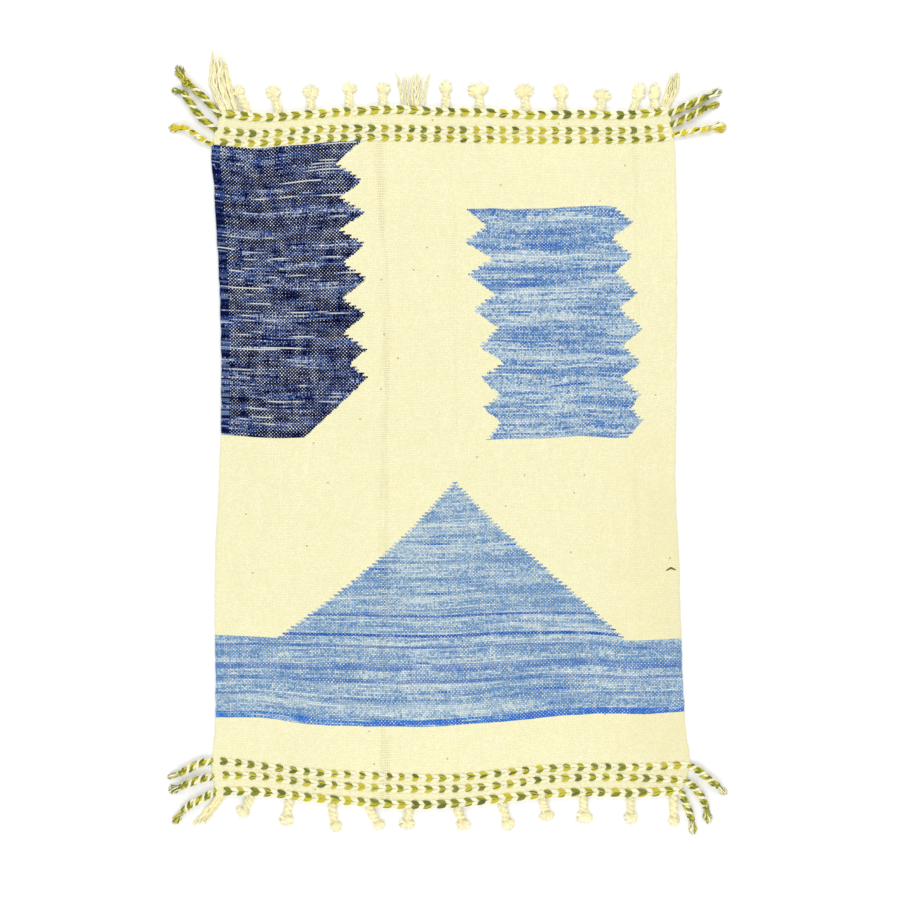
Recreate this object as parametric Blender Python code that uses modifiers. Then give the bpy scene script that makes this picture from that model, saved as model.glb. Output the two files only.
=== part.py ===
"""A small flat-woven kilim, lying flat on the floor.

One sheet of cloth carries six twined rows across its ends. Twisted tassels and loose locks of warp stand out
from both ends, and three plied tails from each corner. Metres, +Z up: the underside rests on z = 0 and the
length runs along Y.
"""

import math
from collections import namedtuple

import bmesh
import bpy
import numpy as np
from mathutils import Vector

MM = 0.001
FULL_TURN = 2 * math.pi

# Millimetres, as are all tables.
CLOTH_THICK = 3.0
GAP = 0.35  # between two pieces that touch in the real object
ROOT_DEPTH = 4.0  # how far a root starts inside the cloth's outline, before it is cut clear

# The faint fold that runs the cloth's length, as a low ridge.
FOLD_ACROSS = 0.362  # share of the width, from the left
FOLD_HALF_WIDTH = 0.012
FOLD_HEIGHT = 1.2
FOLD_FADES_OVER = 0.08  # share of the length at each end

# The selvedges, from the bottom end up: share of the length, then the left and right edge.
Side = namedtuple("Side", "along left right")
SIDES = (
    Side(0.000, -297, 298),
    Side(0.043, -302, 310),
    Side(0.095, -298, 305),
    Side(0.152, -297, 302),
    Side(0.240, -298, 299),
    Side(0.357, -297, 296),
    Side(0.445, -293, 292),
    Side(0.562, -290, 293),
    Side(0.736, -292, 294),
    Side(0.824, -296, 294),
    Side(0.883, -299, 293),
    Side(0.945, -302, 291),
    Side(1.000, -290, 284),
)

# The six twined rows at each tenth of the width, from the left.
Rows = namedtuple("Rows", "bottom_outer bottom_middle bottom_inner top_inner top_middle top_outer")
ROWS = (
    Rows(-446, -425, -406, 386, 401, 422),
    Rows(-447, -427, -413, 384, 396, 417),
    Rows(-454, -435, -421, 389, 401, 421),
    Rows(-459, -440, -425, 391, 403, 425),
    Rows(-463, -443, -428, 391, 403, 427),
    Rows(-462, -443, -429, 390, 401, 424),
    Rows(-456, -439, -423, 389, 401, 423),
    Rows(-450, -431, -417, 388, 400, 420),
    Rows(-447, -428, -415, 388, 400, 421),
    Rows(-448, -429, -415, 388, 400, 420),
    Rows(-445, -432, -412, 392, 404, 426),
)
EDGE_PAST_ROW = 5.4  # from the outer row's middle to the cloth's end
STITCHES = 34  # arrowheads in a row
ROW_INSET = 0.012  # share of the width left bare at each selvedge
OUTER_STITCH_HALF = 4.9
INNER_STITCH_HALF = 4.1
STITCH_WAIST = 0.55  # half width between two arrowheads, as a share of the widest
STITCH_HEIGHT = 2.4
STITCH_DIP = 1.3
STITCH_POINTS_AHEAD = 3.6  # the crest leads the sides, which makes an arrowhead

# Tassels: where each leaves the end, where its rope stops and where its tuft ends.
Tassel = namedtuple("Tassel", "root_x neck_x neck_y tip_x tip_y spread")
TOP_TASSELS = (
    Tassel(-256, -266, 444, -270, 458, 16),
    Tassel(-215, -222, 442, -225, 459, 19),
    Tassel(-175, -175, 442, -175, 459, 21),
    Tassel(-126, -126, 448, -125, 462, 19),
    Tassel(-83, -83, 446, -81, 462, 19),
    Tassel(-2, -2, 447, -2, 465, 18),
    Tassel(42, 40, 444, 38, 462, 27),
    Tassel(101, 99, 442, 97, 460, 25),
    Tassel(146, 146, 440, 144, 460, 20),
    Tassel(196, 198, 439, 199, 454, 23),
    Tassel(237, 243, 439, 249, 462, 18),
    Tassel(265, 266, 438, 265, 462, 16),
)
BOTTOM_TASSELS = (
    Tassel(-251, -260, -467, -265, -479, 18),
    Tassel(-202, -206, -477, -207, -491, 19),
    Tassel(-148, -145, -485, -140, -498, 15),
    Tassel(-101, -90, -484, -84, -495, 15),
    Tassel(-47, -52, -482, -52, -496, 21),
    Tassel(12, 20, -483, 21, -497, 18),
    Tassel(69, 77, -482, 79, -497, 17),
    Tassel(121, 127, -472, 128, -484, 19),
    Tassel(174, 175, -473, 176, -488, 21),
    Tassel(234, 235, -474, 235, -488, 18),
    Tassel(289, 290, -478, 291, -491, 15),
)
ROPE_HALF = 5.2
ROPE_ROOT = 0.62  # the rope's size at its root and at its neck, as a share of its middle
ROPE_NECK = 0.8
ROPE_TURNS = 1.0
ROPE_BOW = 0.15  # sideways bow at its middle, as a share of the step from root to neck
TASSEL_STRANDS = 7
TUFT_MIDDLE = 0.85  # a tuft's width half way along, as a share of its spread
TUFT_ROUNDING = 0.9
TUFT_ROOT = 3.2  # how deep the strands start inside their rope
TUFT_ROOT_WIDE = 0.8  # the strands' roots together, as a share of the rope's half width

# Locks of loose warp: middle line and width at the root, half way and at the tip.
Lock = namedtuple("Lock", "name root_x root_wide mid_x mid_y mid_wide tip_x tip_y tip_wide strands")
TOP_LOCKS = (
    Lock("lock_top_left", -280, 17, -291, 460, 20, -293, 502, 12, 12),
    Lock("lock_top_middle", -44, 26, -44, 452, 34, -44, 478, 44, 9),
    Lock("lock_top_right", 279, 9, 288, 452, 15, 293, 479, 10, 7),
)
BOTTOM_LOCKS = (
    Lock("lock_bottom_left", -289, 10, -306, -473, 12, -322, -492, 14, 8),
)
LOCK_BAR_DEEP = 2.6  # how far the bar that holds a lock's strands stands out from the cloth
LOCK_BAR_HIGH = 2.6
LOCK_ROOT_IN = 0.5  # where in the bar a strand starts, from the cloth outwards
LOCK_LIES_AT = 5.2  # how far out it has come down to the floor
LOCK_STRAND_FAR = 2.4  # strands that stand further apart than this grow no thicker

# Tails at the corners: two bends, the neck and the tip.
Tail = namedtuple("Tail", "name root_y bend_x bend_y turn_x turn_y neck_x neck_y tip_x tip_y spread")
LEFT_TAILS = (
    Tail("tail_top_left_outer", 418, -309, 439, -323, 452, -335, 462, -347, 484, 15),
    Tail("tail_top_left_middle", 401, -317, 418, -328, 433, -338, 448, -354, 453, 8),
    Tail("tail_top_left_inner", 383, -316, 390, -328, 399, -338, 404, -358, 403, 12),
    Tail("tail_bottom_left_inner", -407, -316, -410, -330, -417, -342, -423, -359, -429, 7),
    Tail("tail_bottom_left_middle", -427, -317, -431, -331, -436, -341, -440, -358, -446, 13),
    Tail("tail_bottom_left_outer", -445, -315, -456, -329, -463, -338, -471, -352, -488, 11),
)
RIGHT_TAILS = (
    Tail("tail_top_right_outer", 421, 304, 431, 320, 438, 332, 443, 352, 452, 11),
    Tail("tail_top_right_middle", 407, 303, 415, 318, 423, 330, 429, 349, 435, 9),
    Tail("tail_top_right_inner", 394, 304, 398, 321, 401, 335, 403, 358, 405, 15),
    Tail("tail_bottom_right_inner", -413, 322, -420, 335, -431, 346, -439, 358, -451, 9),
    Tail("tail_bottom_right_middle", -432, 317, -442, 326, -454, 331, -466, 335, -488, 13),
    Tail("tail_bottom_right_outer", -445, 304, -459, 309, -470, 313, -482, 315, -502, 12),
)
TAIL_HALF = 4.1
TAIL_ROOT = 0.85
TAIL_NECK = 0.9
TAIL_TURNS = 3.0
TAIL_STRANDS = 5

ROPE_FLATNESS = 0.66  # a rope of two plies is this much thinner one way
ROPE_LEAN = 0.35  # radians by which the plies are turned where the rope starts
STRAND_HALF = 1.5
STRAND_FILLS = 0.37  # a strand's half width, as a share of the room that it has beside the next
STRAND_TAPER = 0.6  # a strand's tip against its middle
CUTTER_HIGH = 40.0  # the block that cuts roots clear of the cloth, from below the floor up
CUTTER_FOOT = -10.0
ROPE_STEPS = 4  # rings between two points of a route
TAIL_STEPS = 7

CLOTH_COLOUR = (0.90, 0.87, 0.60)
TWINE_COLOUR = (0.26, 0.26, 0.05)
YELLOW_COLOUR = (0.68, 0.55, 0.02)
WARP_COLOUR = (0.92, 0.90, 0.66)
CLOTH_ROUGH = 0.9
YARN_ROUGH = 0.85


def clear_scene():
    for obj in list(bpy.data.objects):
        bpy.data.objects.remove(obj, do_unlink=True)


def collection(name, hidden=False):
    made = bpy.data.collections.new(name)
    made.hide_render = hidden
    bpy.context.scene.collection.children.link(made)
    return made


def fabric(name, colour, rough):
    material = bpy.data.materials.new(name)
    material.use_nodes = True
    shader = material.node_tree.nodes["Principled BSDF"]
    shader.inputs["Base Color"].default_value = (*colour, 1.0)
    shader.inputs["Roughness"].default_value = rough
    return material


def new_object(name, data, home, material=None):
    obj = bpy.data.objects.new(name, data)
    home.objects.link(obj)
    if material:
        data.materials.append(material)
    return obj


def evaluated_mesh(obj):
    """The object's mesh with its modifiers applied and its caps welded to its sides."""
    bpy.context.view_layer.update()
    mesh = bpy.data.meshes.new_from_object(obj.evaluated_get(bpy.context.evaluated_depsgraph_get()))
    shape = bmesh.new()
    shape.from_mesh(mesh)
    bmesh.ops.remove_doubles(shape, verts=shape.verts, dist=0.01 * MM)
    bmesh.ops.recalc_face_normals(shape, faces=shape.faces)
    shape.to_mesh(mesh)
    shape.free()
    return mesh


def selvedge(along, side):
    """The X of the left or right edge at a share of the length."""
    return float(np.interp(along, [row.along for row in SIDES], [getattr(row, side) for row in SIDES]))


def row_line(across, name):
    """The Y of a twined row at a share of the width."""
    places = [k / (len(ROWS) - 1) for k in range(len(ROWS))]
    return float(np.interp(across, places, [getattr(row, name) for row in ROWS]))


def end_line(across, end):
    """The Y of the cloth's top (+1) or bottom (-1) end at a share of the width."""
    return row_line(across, "top_outer" if end > 0 else "bottom_outer") + end * EDGE_PAST_ROW


def cloth_point(across, along):
    """The place in plan of a point of the cloth, from its shares of the width and the length."""
    left = selvedge(along, "left")
    right = selvedge(along, "right")
    bottom = end_line(across, -1)
    top = end_line(across, 1)
    return left + (right - left) * across, bottom + (top - bottom) * along


def end_along(end):
    """The share of the length at the top (+1) or bottom (-1) end."""
    return 1.0 if end > 0 else 0.0


def across_at(x, along):
    """The share of the width at an X."""
    left = selvedge(along, "left")
    return (x - left) / (selvedge(along, "right") - left)


def along_at(y):
    """The share of the length at a selvedge's Y."""
    bottom = end_line(0.0, -1)
    return (y - bottom) / (end_line(0.0, 1) - bottom)


def fold_height(across, along):
    """How far the fold lifts the cloth there: nothing beside it and towards the ends."""
    off_crest = abs(across - FOLD_ACROSS) / FOLD_HALF_WIDTH
    off_end = min(along, 1 - along) / FOLD_FADES_OVER
    return FOLD_HEIGHT * max(0.0, 1 - off_crest) * min(1.0, max(0.0, off_end - 1))


def sheet(name, home, grow, thick, lift, material=None):
    """A sheet with the cloth's outline and fold, whose edges stand out by grow."""
    fold = [FOLD_ACROSS - FOLD_HALF_WIDTH, FOLD_ACROSS, FOLD_ACROSS + FOLD_HALF_WIDTH]
    columns = sorted([k / (len(ROWS) - 1) for k in range(len(ROWS))] + fold)
    lengths = [row.along for row in SIDES]
    shape = bmesh.new()
    bmesh.ops.create_grid(shape, x_segments=len(columns) - 1, y_segments=len(lengths) - 1, size=0.5)
    for vertex in shape.verts:
        across = columns[round((vertex.co.x + 0.5) * (len(columns) - 1))]
        along = lengths[round((vertex.co.y + 0.5) * (len(lengths) - 1))]
        x, y = cloth_point(across, along)
        x += grow * ((across == 1) - (across == 0))
        y += grow * ((along == 1) - (along == 0))
        vertex.co = Vector((x, y, lift + fold_height(across, along))) * MM
    mesh = bpy.data.meshes.new(name)
    shape.to_mesh(mesh)
    shape.free()
    obj = new_object(name, mesh, home, material)
    solid = obj.modifiers.new("thickness", "SOLIDIFY")
    solid.thickness = thick * MM
    solid.offset = 1
    return obj


def loft(name, rings, home, material):
    """A closed body through rings of points, with flat ends."""
    shape = bmesh.new()
    loops = [[shape.verts.new(Vector(point) * MM) for point in ring] for ring in rings]
    sides = len(loops[0])
    for one, other in zip(loops, loops[1:]):
        for k in range(sides):
            after = (k + 1) % sides
            shape.faces.new((one[k], one[after], other[after], other[k]))
    shape.faces.new(loops[0])
    shape.faces.new(loops[-1])
    bmesh.ops.recalc_face_normals(shape, faces=shape.faces)
    mesh = bpy.data.meshes.new(name)
    shape.to_mesh(mesh)
    shape.free()
    return new_object(name, mesh, home, material)


def twined_row(row, home, material):
    """A low ridge of arrowheads across the cloth: two rings a stitch, with the crest ahead of the sides."""
    half = OUTER_STITCH_HALF if "outer" in row else INNER_STITCH_HALF
    base = CLOTH_THICK + GAP
    rings = []
    for k in range(2 * STITCHES + 1):
        across = ROW_INSET + (1 - 2 * ROW_INSET) * k / (2 * STITCHES)
        y = row_line(across, row)
        x = cloth_point(across, along_at(y))[0]
        wide = half if k % 2 else half * STITCH_WAIST
        high = STITCH_HEIGHT if k % 2 else STITCH_DIP
        lead = STITCH_POINTS_AHEAD if k else 0.0
        rings.append([(x, y - wide, base), (x, y + wide, base), (x + lead, y, base + high)])
    return loft("twined_row_" + row, rings, home, material)


def profile(name, home, corners):
    """A closed outline that a curve carries along its route."""
    curve = bpy.data.curves.new(name, "CURVE")
    spline = curve.splines.new("POLY")
    spline.points.add(len(corners) - 1)
    for point, (x, y) in zip(spline.points, corners):
        point.co = (x * MM, y * MM, 0, 1)
    spline.use_cyclic_u = True
    return new_object(name, curve, home)


def swept_curve(name, outline):
    curve = bpy.data.curves.new(name, "CURVE")
    curve.dimensions = "3D"
    curve.twist_mode = "Z_UP"
    curve.bevel_mode = "OBJECT"
    curve.bevel_object = outline
    curve.use_fill_caps = True
    return curve


def rope(name, places, radii, half, turns, steps, outline, home, material):
    """A twisted rope on a smooth route, lying on the floor."""
    curve = swept_curve(name, outline)
    curve.resolution_u = steps
    spline = curve.splines.new("BEZIER")
    spline.bezier_points.add(len(places) - 1)
    for k, (point, (x, y), radius) in enumerate(zip(spline.bezier_points, places, radii)):
        point.co = Vector((x, y, half * radius)) * MM
        point.handle_left_type = "AUTO"
        point.handle_right_type = "AUTO"
        point.radius = radius
        point.tilt = ROPE_LEAN + FULL_TURN * turns * k / (len(places) - 1)
    return new_object(name, curve, home, material)


def strands(name, routes, outline, home):
    """Straight-sided strands in one curve: each route holds (x, y, middle height, radius) points."""
    curve = swept_curve(name, outline)
    for route in routes:
        spline = curve.splines.new("POLY")
        spline.points.add(len(route) - 1)
        for point, (x, y, z, radius) in zip(spline.points, route):
            point.co = (x * MM, y * MM, z * MM, 1)
            point.radius = radius
    return new_object(name, curve, home)


def strand_radius(wide, count):
    """The radius, as a share of the strand's own size, at which strands across a width stay apart."""
    return STRAND_FILLS * wide / (count - 1) / STRAND_HALF


def tuft_routes(neck, tip, spread, count, root_height, root_wide):
    """Strands that fan out from a rope's neck, shorter towards the sides, and lie level on the floor."""
    neck = Vector(neck)
    ahead = Vector(tip) - neck
    length = ahead.length
    ahead.normalize()
    sideways = Vector((-ahead.y, ahead.x))
    middle_wide = TUFT_MIDDLE * spread
    root_radius = strand_radius(root_wide, count)
    middle_radius = strand_radius(middle_wide, count)
    tip_radius = middle_radius * STRAND_TAPER
    routes = []
    for k in range(count):
        share = k / (count - 1) - 0.5
        reach = length * (1 - TUFT_ROUNDING * share * share)
        root = neck - ahead * TUFT_ROOT + sideways * share * root_wide
        half_way = neck + ahead * reach / 2 + sideways * share * middle_wide
        end = neck + ahead * reach + sideways * share * spread
        routes.append(
            (
                (*root, root_height, root_radius),
                (*half_way, STRAND_HALF * middle_radius, middle_radius),
                (*end, STRAND_HALF * tip_radius, tip_radius),
            )
        )
    return routes


def join_and_clear(obj, added, clearance, home, material):
    """Replaces an object by its union with the added one, cut clear of the cloth."""
    body = new_object(obj.name + "_body", evaluated_mesh(obj), home, material)
    extra = new_object(added.name + "_mesh", evaluated_mesh(added), added.users_collection[0])
    for name, operation, other in (("tuft", "UNION", extra), ("seat", "DIFFERENCE", clearance)):
        modifier = body.modifiers.new(name, "BOOLEAN")
        modifier.operation = operation
        modifier.solver = "EXACT"
        modifier.object = other
    mesh = evaluated_mesh(body)
    mesh.shade_smooth()
    body.modifiers.clear()
    body.data = mesh
    name = obj.name
    for spent in (obj, added, extra):
        bpy.data.objects.remove(spent, do_unlink=True)
    body.name = name
    return body


def tassel(name, row, end, shapes, home, material):
    """A rope of twisted warp with a frayed tuft, at the top (+1) or bottom (-1) end."""
    edge = end_line(across_at(row.root_x, end_along(end)), end)
    root = Vector((row.root_x, edge - end * ROOT_DEPTH))
    neck = Vector((row.neck_x, row.neck_y))
    middle = root.lerp(neck, 0.5) + Vector(((row.root_x - row.neck_x) * ROPE_BOW, 0))
    twisted = rope(name, [root, middle, neck], (ROPE_ROOT, 1.0, ROPE_NECK), ROPE_HALF, ROPE_TURNS,
                   ROPE_STEPS, shapes.rope, home, material)
    fan = tuft_routes(neck, (row.tip_x, row.tip_y), row.spread, TASSEL_STRANDS,
                      ROPE_HALF * ROPE_NECK, ROPE_HALF * TUFT_ROOT_WIDE)
    tuft = strands(name + "_tuft", fan, shapes.strand, shapes.home)
    return join_and_clear(twisted, tuft, shapes.clearance, home, material)


def tail(row, side, shapes, home, material):
    """A plied tail of twining yarn with a frayed end, at the left or right selvedge."""
    inward = ROOT_DEPTH if side == "left" else -ROOT_DEPTH
    root = (selvedge(along_at(row.root_y), side) + inward, row.root_y)
    places = [root, (row.bend_x, row.bend_y), (row.turn_x, row.turn_y), (row.neck_x, row.neck_y)]
    plied = rope(row.name, places, (TAIL_ROOT, 1.0, 1.0, TAIL_NECK), TAIL_HALF, TAIL_TURNS,
                 TAIL_STEPS, shapes.tail, home, material)
    fan = tuft_routes(places[-1], (row.tip_x, row.tip_y), row.spread, TAIL_STRANDS,
                      TAIL_HALF * TAIL_NECK, TAIL_HALF * TUFT_ROOT_WIDE)
    tuft = strands(row.name + "_tuft", fan, shapes.strand, shapes.home)
    return join_and_clear(plied, tuft, shapes.clearance, home, material)


def lock_routes(row, edge, end):
    """Strands side by side that leave the cloth's end straight, come down to the floor and run to the tip."""
    root = Vector((row.root_x, edge))
    middle = Vector((row.mid_x, row.mid_y))
    tip = Vector((row.tip_x, row.tip_y))
    ahead = (tip - root).normalized()
    sideways = Vector((ahead.y, -ahead.x)) * end
    root_radius = strand_radius(row.root_wide, row.strands)
    middle_radius = strand_radius(min(row.mid_wide, LOCK_STRAND_FAR * row.strands), row.strands)
    tip_radius = middle_radius * STRAND_TAPER
    routes = []
    for k in range(row.strands):
        share = k / (row.strands - 1) - 0.5
        x = row.root_x + share * row.root_wide
        half_way = middle + sideways * share * row.mid_wide
        last = tip + (sideways * share - ahead * TUFT_ROUNDING * share * share) * row.tip_wide
        routes.append(
            (
                (x, edge + end * LOCK_ROOT_IN, LOCK_BAR_HIGH / 2, root_radius),
                (x, edge + end * LOCK_LIES_AT, STRAND_HALF * root_radius, root_radius),
                (*half_way, STRAND_HALF * middle_radius, middle_radius),
                (*last, STRAND_HALF * tip_radius, tip_radius),
            )
        )
    return routes


def lock_bar(row, edge, end, home, material):
    """The narrow bar along the cloth's end that holds a lock's strands."""
    size = Vector((row.root_wide + 2 * STRAND_HALF, ROOT_DEPTH + LOCK_BAR_DEEP, LOCK_BAR_HIGH))
    centre = Vector((row.root_x, edge + end * (LOCK_BAR_DEEP - size.y / 2), size.z / 2))
    shape = bmesh.new()
    bmesh.ops.create_cube(shape, size=MM)
    bmesh.ops.scale(shape, vec=size, verts=shape.verts)
    bmesh.ops.translate(shape, vec=centre * MM, verts=shape.verts)
    mesh = bpy.data.meshes.new(row.name)
    shape.to_mesh(mesh)
    shape.free()
    return new_object(row.name, mesh, home, material)


def lock(row, end, shapes, home, material):
    """Warp ends left loose at the top (+1) or bottom (-1) end."""
    edge = end_line(across_at(row.root_x, end_along(end)), end)
    bar = lock_bar(row, edge, end, home, material)
    loose = strands(row.name + "_strands", lock_routes(row, edge, end), shapes.strand, shapes.home)
    return join_and_clear(bar, loose, shapes.clearance, home, material)


Shapes = namedtuple("Shapes", "home clearance rope tail strand")


def helper_shapes():
    """The outlines that curves carry, and the grown cloth that cuts each root clear."""
    home = collection("cutters", hidden=True)
    clearance = sheet("cloth_clearance", home, GAP, CUTTER_HIGH, CUTTER_FOOT)
    clearance.display_type = "WIRE"
    thin = ROPE_FLATNESS
    low = STRAND_HALF
    return Shapes(
        home,
        clearance,
        profile("rope_outline", home, rhombus(ROPE_HALF, ROPE_HALF * thin)),
        profile("tail_outline", home, rhombus(TAIL_HALF, TAIL_HALF * thin)),
        profile("strand_outline", home, [(-low, -low), (low, -low), (0, low)]),
    )


def rhombus(wide, high):
    """The section of a rope of two plies."""
    return [(wide, 0), (0, high), (-wide, 0), (0, -high)]


def build():
    clear_scene()
    home = collection("berber_kilim")
    shapes = helper_shapes()
    cloth = fabric("kilim_cloth", CLOTH_COLOUR, CLOTH_ROUGH)
    twine = fabric("twining_yarn", TWINE_COLOUR, YARN_ROUGH)
    yellow = fabric("yellow_tail_yarn", YELLOW_COLOUR, YARN_ROUGH)
    warp = fabric("warp_yarn", WARP_COLOUR, YARN_ROUGH)
    sheet("kilim_cloth", home, 0.0, CLOTH_THICK, 0.0, cloth)
    for row in Rows._fields:
        twined_row(row, home, twine)
    for end, prefix, tassels, locks in (
        (1, "tassel_top_", TOP_TASSELS, TOP_LOCKS),
        (-1, "tassel_bottom_", BOTTOM_TASSELS, BOTTOM_LOCKS),
    ):
        for number, row in enumerate(tassels, 1):
            tassel(f"{prefix}{number:02d}", row, end, shapes, home, warp)
        for row in locks:
            lock(row, end, shapes, home, warp)
    for side, tails in (("left", LEFT_TAILS), ("right", RIGHT_TAILS)):
        for row in tails:
            tail(row, side, shapes, home, yellow if "top" in row.name and "inner" in row.name else twine)


build()
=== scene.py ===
"""The looks of a small flat-woven kilim: its weave, twined rows, tassels, locks and tails.

The cloth is one thin sheet with a plain weave, whose motifs are laid out pick by pick. Every yarn that stands
out of it is a real strand. Lengths are in millimetres until a mesh is made.
"""

import math
from collections import namedtuple

import bpy
import numpy as np
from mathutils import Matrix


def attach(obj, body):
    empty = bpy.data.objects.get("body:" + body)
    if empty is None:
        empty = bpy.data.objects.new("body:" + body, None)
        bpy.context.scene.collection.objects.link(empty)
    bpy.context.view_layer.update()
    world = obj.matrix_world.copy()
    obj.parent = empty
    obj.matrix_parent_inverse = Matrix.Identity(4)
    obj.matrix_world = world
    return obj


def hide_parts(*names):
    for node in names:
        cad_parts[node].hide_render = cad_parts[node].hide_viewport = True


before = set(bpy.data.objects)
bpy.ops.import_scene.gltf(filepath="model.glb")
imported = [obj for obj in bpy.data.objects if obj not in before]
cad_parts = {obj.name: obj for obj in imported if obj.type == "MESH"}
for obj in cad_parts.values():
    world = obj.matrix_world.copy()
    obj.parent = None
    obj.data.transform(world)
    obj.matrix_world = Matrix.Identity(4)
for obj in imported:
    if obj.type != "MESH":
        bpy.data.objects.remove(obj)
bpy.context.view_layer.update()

MM = 0.001
TURN = 2 * math.pi

# ---------------------------------------------------------------- sizes, the same as the solids'

CLOTH_THICK = 3.0
CLOTH_WIDE = 600.0  # nominal, as is the length: the weave's places are counted in them
CLOTH_LONG = 880.0

FOLD_ACROSS = 0.362
FOLD_HALF_WIDTH = 0.012
FOLD_HEIGHT = 1.2
FOLD_FADES_OVER = 0.08

# The selvedges from the bottom end up: share of the length, left and right edge.
SIDES = (
    (0.000, -297, 298), (0.043, -302, 310), (0.095, -298, 305), (0.152, -297, 302), (0.240, -298, 299),
    (0.357, -297, 296), (0.445, -293, 292), (0.562, -290, 293), (0.736, -292, 294), (0.824, -296, 294),
    (0.883, -299, 293), (0.945, -302, 291), (1.000, -290, 284),
)

# The twined rows at each tenth of the width, from the left.
ROWS = {
    "bottom_outer": (-446, -447, -454, -459, -463, -462, -456, -450, -447, -448, -445),
    "bottom_middle": (-425, -427, -435, -440, -443, -443, -439, -431, -428, -429, -432),
    "bottom_inner": (-406, -413, -421, -425, -428, -429, -423, -417, -415, -415, -412),
    "top_inner": (386, 384, 389, 391, 391, 390, 389, 388, 388, 388, 392),
    "top_middle": (401, 396, 401, 403, 403, 401, 401, 400, 400, 400, 404),
    "top_outer": (422, 417, 421, 425, 427, 424, 423, 420, 421, 420, 426),
}
EDGE_PAST_ROW = 5.4
STITCHES = 34
ROW_INSET = 0.012

Tassel = namedtuple("Tassel", "root_x neck_x neck_y tip_x tip_y spread")
TOP_TASSELS = (
    Tassel(-256, -266, 444, -270, 458, 16),
    Tassel(-215, -222, 442, -225, 459, 19),
    Tassel(-175, -175, 442, -175, 459, 21),
    Tassel(-126, -126, 448, -125, 462, 19),
    Tassel(-83, -83, 446, -81, 462, 19),
    Tassel(-2, -2, 447, -2, 465, 18),
    Tassel(42, 40, 444, 38, 462, 27),
    Tassel(101, 99, 442, 97, 460, 25),
    Tassel(146, 146, 440, 144, 460, 20),
    Tassel(196, 198, 439, 199, 454, 23),
    Tassel(237, 243, 439, 249, 462, 18),
    Tassel(265, 266, 438, 265, 462, 16),
)
BOTTOM_TASSELS = (
    Tassel(-251, -260, -467, -265, -479, 18),
    Tassel(-202, -206, -477, -207, -491, 19),
    Tassel(-148, -145, -485, -140, -498, 15),
    Tassel(-101, -90, -484, -84, -495, 15),
    Tassel(-47, -52, -482, -52, -496, 21),
    Tassel(12, 20, -483, 21, -497, 18),
    Tassel(69, 77, -482, 79, -497, 17),
    Tassel(121, 127, -472, 128, -484, 19),
    Tassel(174, 175, -473, 176, -488, 21),
    Tassel(234, 235, -474, 235, -488, 18),
    Tassel(289, 290, -478, 291, -491, 15),
)
ROPE_HALF = 5.2

LockYarn = namedtuple("LockYarn", "radius fan highest dyes")
THICK_YARN = LockYarn(1.35, 1.2, 4.0, (0, 0, 1, 1, 3))
THIN_YARN = LockYarn(1.05, 1.0, 2.2, (0, 1, 1))
Lock = namedtuple("Lock", "name end root_x root_wide mid_x mid_y mid_wide tip_x tip_y tip_wide yarns hairs yarn")
LOCKS = (
    Lock("lock_top_left", 1, -280, 17, -291, 460, 20, -293, 502, 12, 30, 40, THICK_YARN),
    Lock("lock_top_middle", 1, -44, 26, -44, 452, 34, -44, 478, 44, 15, 30, THIN_YARN),
    Lock("lock_top_right", 1, 279, 9, 288, 452, 15, 293, 479, 10, 12, 30, THIN_YARN),
    Lock("lock_bottom_left", -1, -289, 10, -306, -473, 12, -322, -492, 14, 14, 30, THIN_YARN),
)

Tail = namedtuple("Tail", "name side root_y bend_x bend_y turn_x turn_y neck_x neck_y tip_x tip_y spread")
TAILS = (
    Tail("tail_top_left_outer", "left", 418, -309, 439, -323, 452, -335, 462, -347, 484, 15),
    Tail("tail_top_left_middle", "left", 401, -317, 418, -328, 433, -338, 448, -354, 453, 8),
    Tail("tail_top_left_inner", "left", 383, -316, 390, -328, 399, -338, 404, -358, 403, 12),
    Tail("tail_bottom_left_inner", "left", -407, -316, -410, -330, -417, -342, -423, -359, -429, 7),
    Tail("tail_bottom_left_middle", "left", -427, -317, -431, -331, -436, -341, -440, -358, -446, 13),
    Tail("tail_bottom_left_outer", "left", -445, -315, -456, -329, -463, -338, -471, -352, -488, 11),
    Tail("tail_top_right_outer", "right", 421, 304, 431, 320, 438, 332, 443, 352, 452, 11),
    Tail("tail_top_right_middle", "right", 407, 303, 415, 318, 423, 330, 429, 349, 435, 9),
    Tail("tail_top_right_inner", "right", 394, 304, 398, 321, 401, 335, 403, 358, 405, 15),
    Tail("tail_bottom_right_inner", "right", -413, 322, -420, 335, -431, 346, -439, 358, -451, 9),
    Tail("tail_bottom_right_middle", "right", -432, 317, -442, 326, -454, 331, -466, 335, -488, 13),
    Tail("tail_bottom_right_outer", "right", -445, 304, -459, 309, -470, 313, -482, 315, -502, 12),
)
TAIL_HALF = 4.1

# ---------------------------------------------------------------- sizes of what only the looks have

WARP_PITCH = 2.25  # from one warp to the next
PICK_PITCH = 2.1
PICK_WAVE = 5.0  # how far a pick wanders along the length
PICK_BOW = 13.0  # how far the picks about the band and the peak bow towards the top
BOW_STARTS = (105.0, 215.0)  # the bow grows over this stretch of the cloth
BOW_ENDS = (300.0, 440.0)  # and fades over this one
TURN_STANDS_OUT = 2.2  # how far one turn of the weft reaches past the next at a motif's edge

CLOTH_COLUMNS = 160
CLOTH_LINES = 260
EDGE_ROUND = 1.9  # width over which an edge of the cloth rounds off
COCKLE = 0.45  # height of the cloth's soft unevenness
CLEAR_OF_FLOOR = 0.05  # how far the underside stays above the floor
SELVEDGE_SWELL = 0.5
SELVEDGE_WIDE = 7.0
TURNS_WIDE = 11.0  # how far in from the left selvedge the weft's turns show
# Along these lines, as at the fold, the gaps of the weave get a little more painted shade.
FAINT_LINES = (309.0, 547.0)  # where, across, the weave is a little open besides at the fold
STRAY_AT = (589.0, 290.5)  # a short end of dark yarn, caught in the weave

ARROW_LONG = 17.2
OUTER_ARROW_HALF = 5.2  # half the width of an outer twined row
INNER_ARROW_HALF = 4.4
HAIR = 0.17  # radius of a loose hair

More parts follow.
